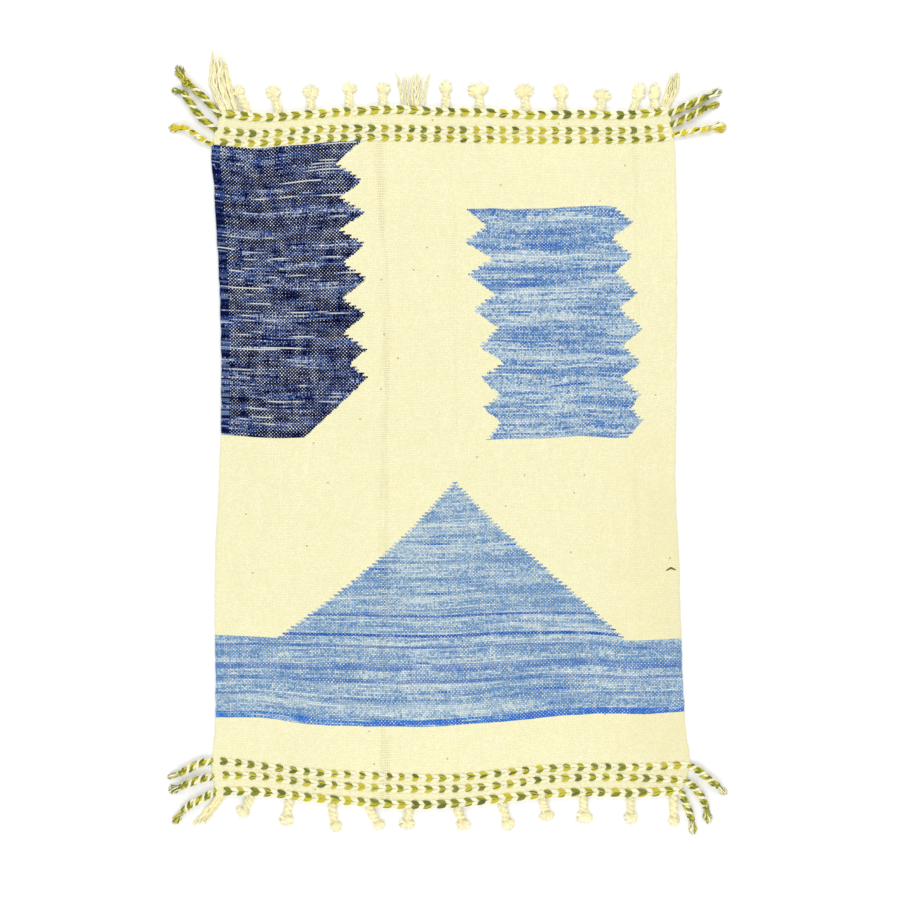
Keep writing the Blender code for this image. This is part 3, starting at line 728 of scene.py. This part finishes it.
class Bench:
    """Places nodes in one tree and wires them, so that a material reads as a list of steps."""

    def __init__(self, tree):
        self.tree = tree

    def feed(self, socket, value):
        if isinstance(value, Signal):
            self.tree.links.new(value.socket, socket)
        else:
            socket.default_value = value

    def node(self, kind, inputs=None, **settings):
        made = self.tree.nodes.new("ShaderNode" + kind)
        for name, value in settings.items():
            setattr(made, name, value)
        for name, value in (inputs or {}).items():
            self.feed(made.inputs[name], value)
        return made

    def out(self, node, name=0):
        return Signal(self, node.outputs[name])

    def outs(self, node):
        """A node's outputs by name, without the unnamed one that a group's input has for new links."""
        return {socket.name: Signal(self, socket) for socket in node.outputs if socket.name}

    def maths(self, operation, *values):
        made = self.node("Math", operation=operation)
        for socket, value in zip(made.inputs, values):
            self.feed(socket, value)
        return self.out(made)

    def most(self, one, other):
        return self.maths("MAXIMUM", one, other)

    def least(self, one, other):
        return self.maths("MINIMUM", one, other)

    def whole(self, value):
        return self.maths("FLOOR", value)

    def size(self, value):
        return self.maths("ABSOLUTE", value)

    def hump(self, share):
        """0 at the whole numbers and 1 half way between them."""
        return self.size(self.maths("SINE", share * math.pi))

    def ease(self, value, low, high):
        """0 below low, 1 above high, smooth between."""
        made = self.node("MapRange", interpolation_type="SMOOTHSTEP")
        for name, given in (("Value", value), ("From Min", low), ("From Max", high)):
            self.feed(made.inputs[name], given)
        return self.out(made, "Result")

    def vector(self, x, y, z):
        return self.out(self.node("CombineXYZ", {"X": x, "Y": y, "Z": z}))

    def split(self, vector):
        return self.outs(self.node("SeparateXYZ", {"Vector": vector})).values()

    def noise(self, x, y, z, detail=2.0, rough=0.5):
        inputs = {"Vector": self.vector(x, y, z), "Scale": 1.0, "Detail": detail, "Roughness": rough}
        return self.out(self.node("TexNoise", inputs))

    def chance(self, x, y, z):
        """A number from 0 to 1 for each different place given."""
        return self.out(self.node("TexWhiteNoise", {"Vector": self.vector(x, y, z)}, noise_dimensions="3D"), "Value")

    def mix(self, share, one, other, blend="MIX"):
        made = self.node("Mix", data_type="RGBA", blend_type=blend)
        for place, value in ((0, share), (6, one), (7, other)):
            self.feed(made.inputs[place], value)
        return self.out(made, 2)

    def shade(self, colour, amount):
        """The colour made darker or lighter by a factor."""
        grey = self.node("CombineColor", {"Red": amount, "Green": amount, "Blue": amount})
        return self.mix(1.0, colour, self.out(grey), "MULTIPLY")

    def attribute(self, name, kind="Fac"):
        return self.out(self.node("Attribute", attribute_name=name), kind)

    def table(self, value, points):
        """A curve through (place, height) points, all from 0 to 1, with straight runs between."""
        made = self.node("FloatCurve", {"Factor": 1.0, "Value": value})
        curve = made.mapping.curves[0]
        points = sorted(points)
        while len(curve.points) < len(points):
            curve.points.new(0.5, 0.5)
        for point, place in zip(curve.points, points):
            point.location = place
            point.handle_type = "VECTOR"
        made.mapping.update()
        return self.out(made)

    def group(self, tree, inputs):
        made = self.node("Group", node_tree=tree)
        for name, value in inputs.items():
            self.feed(made.inputs[name], value)
        return self.outs(made)


def between(value, low, high):
    return (value > low) * (value < high)


def new_group(name, inputs, outputs):
    """An empty shader node group with its sockets: (tree, bench, its inputs, its outputs)."""
    tree = bpy.data.node_groups.new(name, "ShaderNodeTree")
    kinds = {"value": "NodeSocketFloat", "colour": "NodeSocketColor", "vector": "NodeSocketVector"}
    for in_out, sockets in (("INPUT", inputs), ("OUTPUT", outputs)):
        for label, kind in sockets:
            tree.interface.new_socket(label, in_out=in_out, socket_type=kinds[kind])
    bench = Bench(tree)
    return tree, bench, bench.outs(tree.nodes.new("NodeGroupInput")), tree.nodes.new("NodeGroupOutput").inputs


def plain_weave_group():
    """One warp over, one pick over: dots of warp in the weft, painted shade in the gaps, and each crossing's dome.
    """
    tree, bench, given, result = new_group(
        "plain_weave",
        [("Across", "value"), ("Along", "value"), ("Weft Colour", "colour"), ("Warp Colour", "colour"),
         ("Warp Shows", "value"), ("Gap Shade Colour", "colour"), ("Gap Shade", "value"), ("Speckle", "value")],
        [("Colour", "colour"), ("Height", "value"), ("Roughness", "value")],
    )
    warps = given["Across"] * (1 / WARP_PITCH)
    picks = given["Along"] * (1 / PICK_PITCH)
    warp_round, pick_round = bench.hump(warps), bench.hump(picks)
    dome = warp_round * pick_round
    warp, pick = bench.whole(warps), bench.whole(picks)
    warp_over = (warp + pick) % 2.0
    crossing = bench.chance(warp, pick, 1.0)
    start = 1.0 - given["Warp Shows"]
    dot = warp_over * bench.ease(dome, start, start + 0.14) * (0.50 + crossing * 0.50)
    # Painted shade: the holes at the corners between crossings and the valleys between picks darken towards the gap
    # shade colour.
    hole = (1.0 - warp_round) * (1.0 - pick_round)
    valley = bench.ease(1.0 - pick_round, 0.3, 1.0) * 0.8
    dark = bench.most(bench.ease(hole, 0.06, 0.5), valley) * given["Gap Shade"]
    yarns = bench.mix(dot, given["Weft Colour"], given["Warp Colour"])
    uneven = 0.98 + (crossing - 0.5) * given["Speckle"]
    bench.feed(result["Colour"], bench.shade(bench.mix(dark, yarns, given["Gap Shade Colour"]), uneven))
    height = bench.maths("POWER", dome, 0.6)
    bench.feed(result["Height"], height + warp_over * 0.15)
    bench.feed(result["Roughness"], 0.94 - height * 0.1)
    return tree


def heathered_group():
    """Hand-dyed wool: a colour that drifts along each yarn and jumps from one yarn to the next."""
    tree, bench, given, result = new_group(
        "heathered_wool",
        [("Run", "value"), ("Yarn", "value"), ("Deepest", "colour"), ("Deep", "colour"), ("Pale", "colour"),
         ("Palest", "colour"), ("Streak Length", "value"), ("Lightness", "value"), ("Slubs", "value"),
         ("Seed", "value")],
        [("Colour", "colour")],
    )
    run = given["Run"] / given["Streak Length"]
    yarn, seed = given["Yarn"], given["Seed"]
    own = bench.chance(yarn, seed, 3.0)
    near = bench.noise(run, yarn * 0.71, seed, 2.0, 0.6)
    fine = bench.noise(run * 23.0, yarn * 1.9, seed, 1.0)
    broad = bench.noise(run * 0.35, yarn * 0.13, seed, 1.0)
    total = (own * 0.20 + near * 0.85) + (fine * 0.95 + (broad * 0.70 - 0.10))
    at = 0.2 + bench.ease(total + given["Lightness"], 0.88, 1.62) * 0.8
    slub = bench.noise(run * 0.5, yarn * 7.13, 20.0) + (fine - 0.5) * 0.10
    at = bench.most(at, bench.ease(slub + given["Slubs"], 0.56, 0.71) * 0.95)
    at = bench.least(at, bench.ease(slub, 0.28, 0.35))
    deep = bench.mix(bench.ease(at, 0.0, 0.2), given["Deepest"], given["Deep"])
    pale = bench.mix(bench.ease(at, 0.62, 1.0), given["Pale"], given["Palest"])
    bench.feed(result["Colour"], bench.mix(bench.ease(at, 0.36, 0.66), deep, pale))
    return tree


def yarn_fibres_group():
    """Fibres laid along a strand, each a little lighter or darker, with the strand's own tint."""
    tree, bench, given, result = new_group(
        "yarn_fibres",
        [("Lay", "vector"), ("Tint", "value"), ("Colour", "colour"), ("Depth", "value"),
         ("Fleck Colour", "colour"), ("Flecks", "value")],
        [("Colour", "colour"), ("Height", "value"), ("Roughness", "value")],
    )
    round_x, round_y, run = bench.split(given["Lay"])
    offset = given["Tint"] * 37.0
    lines = bench.noise(round_x * 2.6, round_y * 2.6, run * 0.16 + offset, 3.0, 0.65)
    slubs = bench.noise(run * 0.09, offset, 1.0, 1.0)
    change = (lines - 0.5) * given["Depth"] + ((given["Tint"] - 0.5) * 0.13 + (slubs - 0.5) * 0.25)
    bits = bench.ease(bench.noise(run * 1.1, round_x + offset, round_y, 1.0), 0.58, 0.66) * given["Flecks"]
    wool = bench.shade(given["Colour"], 1.0 + change)
    bench.feed(result["Colour"], bench.mix(bits, wool, given["Fleck Colour"]))
    bench.feed(result["Height"], lines)
    bench.feed(result["Roughness"], 0.95 - lines * 0.2)
    return tree


def new_material(name, sheen, shine):
    """A material whose shader stands ready: (material, bench, shader)."""
    material = bpy.data.materials.new(name)
    material.use_nodes = True
    shader = material.node_tree.nodes["Principled BSDF"]
    shader.inputs["Sheen Weight"].default_value = sheen
    shader.inputs["Sheen Roughness"].default_value = 0.6
    shader.inputs["Specular IOR Level"].default_value = shine
    return material, Bench(material.node_tree), shader


def dress(bench, shader, colour, looks, bump, depth):
    """Wires a colour, and a group's roughness and height, to the shader."""
    bench.feed(shader.inputs["Base Color"], colour)
    bench.feed(shader.inputs["Roughness"], looks["Roughness"])
    relief = bench.node("Bump", {"Strength": bump, "Distance": depth * MM, "Height": looks["Height"]})
    bench.feed(shader.inputs["Normal"], bench.out(relief))


def yarn_material(name, dyes, fibres, depth, flecks):
    """Wool yarn in up to four dyes, which each strand picks by number."""
    material, bench, shader = new_material(name, 0.08, 0.15)
    ramp = bench.node("ValToRGB")
    ramp.color_ramp.interpolation = "CONSTANT"
    while len(ramp.color_ramp.elements) < len(dyes):
        ramp.color_ramp.elements.new(0.5)
    for k, (element, dye) in enumerate(zip(ramp.color_ramp.elements, dyes)):
        element.position = k / len(dyes)
        element.color = paint(dye)
    bench.feed(ramp.inputs[0], (bench.attribute("dye") + 0.5) / float(len(dyes)))
    looks = bench.group(fibres, {
        "Lay": bench.attribute("lay", "Vector"), "Tint": bench.attribute("tint"), "Colour": bench.out(ramp),
        "Depth": depth, "Fleck Colour": paint(BURR), "Flecks": flecks})
    dress(bench, shader, looks["Colour"], looks, 0.5, 0.3)
    return material


# ---------------------------------------------------------------- the cloth's motifs

Weft = namedtuple("Weft", "across level along pick middle turn_at reach")
Motifs = namedtuple("Motifs", "dark light peak band hem deep")


def edge_at(bench, along, edge):
    """Where a toothed edge stands, across the cloth, at a place along it."""
    low, high = edge.span
    at, across = float(edge.along), float(edge.across)
    corners = [(at, across)]
    for down, right in edge.teeth:
        at -= down
        across += right
        corners.append((at, across))
    points = [
        (min(max((at - low) / (high - low), 0.0), 1.0), across / CLOTH_WIDE)
        for at, across in corners if low - 3 <= at <= high + 3]
    return bench.table((along - low) / float(high - low), points) * CLOTH_WIDE


def slanted(across, ends, height=0.0):
    """A straight line across the cloth from its height at the left selvedge to that at the right."""
    left, right = ends
    return float(height + left) + across * ((right - left) / CLOTH_WIDE)


def weft_lines(bench):
    """The places that the weft gives: along and pick follow its wandering lines, across and level the cloth.

    At a motif's edge, turn_at is where a pair of picks turns back, and reach how far a pick stands out there.
    """
    across, level, _ = bench.split(bench.attribute("weave", "Vector"))
    middle = bench.hump(across * (1 / CLOTH_WIDE))
    about_peak = bench.ease(level, *BOW_STARTS) - bench.ease(level, *BOW_ENDS)
    wander = (bench.noise(across * 0.010, level * 0.016, 7.0) - 0.5) * (2 * PICK_WAVE)
    wander = wander - about_peak * middle * PICK_BOW
    along = level + wander
    pick = bench.whole(along * (1 / PICK_PITCH))
    pair = bench.whole(pick * 0.5)
    turn_at = (pair + 0.5) * (2 * PICK_PITCH) - wander
    reach = bench.chance(pair, 1.0, 2.0) * TURN_STANDS_OUT + (pick % 2.0) * TURN_STANDS_OUT
    return Weft(across, level, along, pick, middle, turn_at, reach)


def dark_block(bench, weft):
    edge = edge_at(bench, weft.turn_at, DARK_RIGHT) + weft.reach
    return (weft.across < edge) * between(weft.along, DARK_BOTTOM, slanted(weft.across, DARK_TOP_SLANT, DARK_TOP))


def light_block(bench, weft):
    left = edge_at(bench, weft.turn_at, LIGHT_LEFT) - weft.reach
    right = edge_at(bench, weft.turn_at, LIGHT_RIGHT) + weft.reach
    top = slanted(weft.across, LIGHT_TOP_SLANT, LIGHT_TOP)
    return between(weft.across, left, right) * between(weft.along, LIGHT_BOTTOM, top)


def stepped_peak(bench, weft):
    left = edge_at(bench, weft.turn_at, PEAK_LEFT) - weft.reach
    right = edge_at(bench, weft.turn_at, PEAK_RIGHT) + weft.reach
    return between(weft.across, left, right) * between(weft.along, PEAK_BOTTOM, PEAK_TOP + 1.0)


def band_and_hem(weft):
    low = slanted(weft.across, BAND_BOTTOM)
    band = (weft.along > low) * (weft.level < slanted(weft.across, BAND_TOP))
    return band, band * (weft.along < low + BAND_HEM)


def deeper_rows(bench, weft):
    """How strongly each row of deeper blue shows, fading in and out across the cloth."""
    def fading(seed):
        return bench.ease(bench.noise(weft.across * 0.02, seed, 4.0), 0.3, 0.52)

    deep = 0.0
    for low, high, amount in DEEP_ROWS:
        deep = bench.most(deep, between(weft.along, low, high) * (fading(low) * amount))
    foot = slanted(weft.across, PEAK_FOOT) + weft.middle * PEAK_FOOT_BOW
    for rise, half, amount in LEVEL_ROWS:
        row = between(weft.level, foot + (rise - half), foot + (rise + half))
        deep = bench.most(deep, row * (0.55 * amount + fading(2.0 + rise) * (0.45 * amount)))
    return deep


def lay_out_motifs(bench, weft):
    """1 inside each motif and 0 outside it."""
    peak = stepped_peak(bench, weft)
    band, hem = band_and_hem(weft)
    deep = deeper_rows(bench, weft) * bench.most(peak, band)
    return Motifs(dark_block(bench, weft), light_block(bench, weft), peak, band, hem, deep)


def weft_colour(bench, weft, heathered, motifs):
    """Cream picks, heathered ones in the motifs, and short bars where dark picks turn at the selvedge."""
    colour = paint(CREAM_WEFT)
    for share, wool in (
            (motifs.light, LIGHT_WOOL), (bench.most(motifs.peak, motifs.band), PEAK_WOOL),
            (motifs.hem, HEM_WOOL), (motifs.deep, DEEP_WOOL), (motifs.dark, DARK_WOOL)):
        given = {name: paint(dye) for name, dye in zip(("Deepest", "Deep", "Pale", "Palest"), wool.colours)}
        given.update({"Run": weft.across, "Yarn": weft.pick, "Streak Length": wool.streak,
                      "Lightness": wool.lightness, "Slubs": wool.slubs, "Seed": wool.seed})
        colour = bench.mix(share, colour, bench.group(heathered, given)["Colour"])
    bars = bench.ease(bench.chance(weft.pick, 5.0, 5.0), 0.6, 1.0) * (weft.across < TURNS_WIDE) * motifs.dark
    return bench.mix(bars * 0.8, colour, paint(SELVEDGE_BAR))


def warp_shows(bench, weft, dark, blue):
    """How much of the warp shows as dots: in patches and dashes, and hardly where coloured picks turn."""
    patches = bench.noise(weft.across * 0.085, weft.along * 0.03, 3.0, 3.0)
    dashes = bench.noise(weft.across * 0.025, weft.pick * 0.83, 8.0)
    shows = (0.48 - dark * 0.10) + (patches - 0.5) * 1.6 + (dashes - 0.5) * 1.3
    return shows * (1.0 - (weft.across < TURNS_WIDE) * blue * 0.85)


def open_weave_shade(bench, weft):
    """Where the yarns stand apart, so that more painted shade shows in the gaps: at the fold, and faintly along two
    more lines.
    """
    worn = bench.noise(weft.across * 0.1, weft.level * 0.012, 5.0)
    crease = bench.size(weft.across - FOLD_ACROSS * CLOTH_WIDE)
    opened = (1.0 - bench.ease(crease, 2.5, 9.0)) * bench.ease(worn, 0.36, 0.64)
    for line in FAINT_LINES:
        near = 1.0 - bench.ease(bench.size(weft.across - line), 1.5, 5.0)
        opened = bench.most(opened, near * (bench.ease(worn, 0.4, 0.62) * 0.35))
    return opened


def marks_and_soil(bench, weft, blue, colour):
    """Specks, an end of dark yarn, flecks by the cloth's ends, a soiled right edge and faint clouds."""
    warp = bench.whole(weft.across * (1 / WARP_PITCH))
    specks = (bench.chance(warp, weft.pick, 11.0) > 0.9995) * 0.5
    colour = bench.mix(specks, colour, paint(SPECK))

    aside = bench.size(weft.across - STRAY_AT[0])
    above = (weft.level - STRAY_AT[1]) + aside * 0.45
    stray = aside * aside * 0.05 + above * above < 2.2
    colour = bench.mix(stray * 0.95, colour, paint(STRAY))

    from_end = bench.least(weft.level, CLOTH_LONG - weft.level)
    flecks = bench.ease(bench.noise(weft.across * 0.25, weft.level * 0.32, 6.0, 3.0, 0.7), 0.5, 0.72)
    flecks = (1.0 - bench.ease(from_end, 36.0, 44.0)) * (flecks * 0.45)
    colour = bench.mix(flecks, colour, paint(FLECK))

    soiled = bench.ease(weft.across, 470.0, 600.0) * (1.0 - bench.ease(weft.level, 260.0, 560.0))
    colour = bench.mix(soiled * (1.0 - blue) * 0.16, colour, paint(SOIL))
    clouds = bench.noise(weft.across * 0.012, weft.level * 0.009, 1.0)
    return bench.shade(colour, 0.99 + (clouds - 0.5) * 0.05)


def cloth_material(weave, heathered):
    """Plain-woven cream cloth with heathered navy and light blue motifs."""
    material, bench, shader = new_material("kilim_cloth", 0.01, 0.03)
    weft = weft_lines(bench)
    motifs = lay_out_motifs(bench, weft)
    dark = motifs.dark
    pale_blue = bench.least(motifs.light + motifs.peak + motifs.band, 1.0)
    blue = bench.most(dark, pale_blue)

    def by_motif(in_cream, in_light, in_dark):
        return bench.mix(dark, bench.mix(pale_blue, paint(in_cream), paint(in_light)), paint(in_dark))

    picks = weft_colour(bench, weft, heathered, motifs)
    warp = bench.mix(pale_blue * 0.26, by_motif(CREAM_WARP, WARP_IN_LIGHT, WARP_IN_DARK), picks)
    # How much painted shade darkens the gaps between yarns: more in the motifs and where the weave stands open.
    gap_shade = 0.13 + (pale_blue * 0.26 + dark * 0.7) + open_weave_shade(bench, weft) * 0.6
    looks = bench.group(weave, {
        "Across": weft.across, "Along": weft.along, "Weft Colour": picks, "Warp Colour": warp,
        "Warp Shows": warp_shows(bench, weft, dark, blue), "Gap Shade": bench.least(gap_shade, 1.0),
        "Gap Shade Colour": by_motif(GAP_SHADE_IN_CREAM, GAP_SHADE_IN_LIGHT, GAP_SHADE_IN_DARK), "Speckle": 0.07 + pale_blue * 0.2})
    dress(bench, shader, marks_and_soil(bench, weft, blue, looks["Colour"]), looks, 0.45, 0.45)
    return material


# ---------------------------------------------------------------- the studio

PHOTO_WIDE = 1.154  # metres that the photograph's frame covers on the floor
LENS = 85.0
SENSOR = 36.0
VIEW_CENTRE = (0.0032, -0.009)


def studio_camera():
    """Straight above the kilim, framed as the photograph."""
    data = bpy.data.cameras.new("camera")
    data.lens = LENS
    data.sensor_width = SENSOR
    camera = bpy.data.objects.new("camera", data)
    camera.location = (*VIEW_CENTRE, PHOTO_WIDE * LENS / SENSOR)
    bpy.context.scene.collection.objects.link(camera)
    bpy.context.scene.camera = camera


def studio_floor():
    """A large plain white floor."""
    mesh = bpy.data.meshes.new("floor")
    far = 6.0
    mesh.from_pydata([(-far, -far, 0), (far, -far, 0), (far, far, 0), (-far, far, 0)], [], [(0, 1, 2, 3)])
    material = bpy.data.materials.new("floor")
    material.use_nodes = True
    shader = material.node_tree.nodes["Principled BSDF"]
    shader.inputs["Base Color"].default_value = (0.97, 0.97, 0.97, 1)
    shader.inputs["Roughness"].default_value = 0.9
    shader.inputs["Specular IOR Level"].default_value = 0.0
    mesh.materials.append(material)
    floor = bpy.data.objects.new("floor", mesh)
    bpy.context.scene.collection.objects.link(floor)


def soft_light(name, y, z, watts):
    """A wide soft light beyond one end of the kilim, turned towards its middle."""
    data = bpy.data.lights.new(name, "AREA")
    data.shape = "RECTANGLE"
    data.size = 2.2
    data.size_y = 0.8
    data.energy = watts
    light = bpy.data.objects.new(name, data)
    light.location = (0.0, y, z)
    light.rotation_euler = (math.atan2(-y, z), 0, 0)
    bpy.context.scene.collection.objects.link(light)


def studio():
    world = bpy.data.worlds.new("studio")
    world.use_nodes = True
    sky = world.node_tree.nodes["Background"]
    sky.inputs["Color"].default_value = (1.0, 1.0, 1.0, 1)
    sky.inputs["Strength"].default_value = 0.75
    bpy.context.scene.world = world
    bpy.context.scene.view_settings.view_transform = "Standard"
    studio_camera()
    studio_floor()
    soft_light("light_top", 2.1, 1.6, 22.5)
    soft_light("light_bottom", -2.1, 1.6, 22.5)


# ---------------------------------------------------------------- putting it together


def weave_cloth():
    material = cloth_material(plain_weave_group(), heathered_group())
    return finished("kilim_cloth_woven", cloth_mesh(), material, "kilim_cloth")


def make_yarns():
    """Every tassel, lock, tail and twined row as its own piece."""
    fibres = yarn_fibres_group()
    warp = yarn_material("warp_yarn", WARP_DYES, fibres, 0.42, 0.5)
    twine = yarn_material("twining_yarn", TWINING_DYES, fibres, 0.6, 0.16)
    yellow = yarn_material("yellow_tail_yarn", YELLOW_DYES, fibres, 0.5, 0.16)
    made = []
    for k, name in enumerate(ROWS):
        mesh = yarn_mesh("twined_row_" + name, twined_row_bundles(name, np.random.default_rng(100 + k)))
        made.append(finished("stitches_" + name, mesh, twine, "twined_row_" + name))
    for end, prefix, rows in ((1, "tassel_top_", TOP_TASSELS), (-1, "tassel_bottom_", BOTTOM_TASSELS)):
        for k, row in enumerate(rows, 1):
            node = f"{prefix}{k:02d}"
            mesh = yarn_mesh(node, tassel_bundles(row, end, np.random.default_rng(200 + 50 * end + k)))
            made.append(finished("yarns_" + node, mesh, warp, node))
    for k, row in enumerate(LOCKS):
        mesh = yarn_mesh(row.name, lock_bundles(row, np.random.default_rng(300 + k)))
        made.append(finished("yarns_" + row.name, mesh, warp, row.name))
    for k, row in enumerate(TAILS):
        mesh = yarn_mesh(row.name, tail_bundles(row, np.random.default_rng(400 + k)))
        material, slot = (yellow, "yellow_tail_yarn") if is_bright(row) else (twine, "twining_yarn")
        made.append(finished("yarns_" + row.name, mesh, material, row.name))
    return made


studio()
cloth = weave_cloth()
yarns = make_yarns()
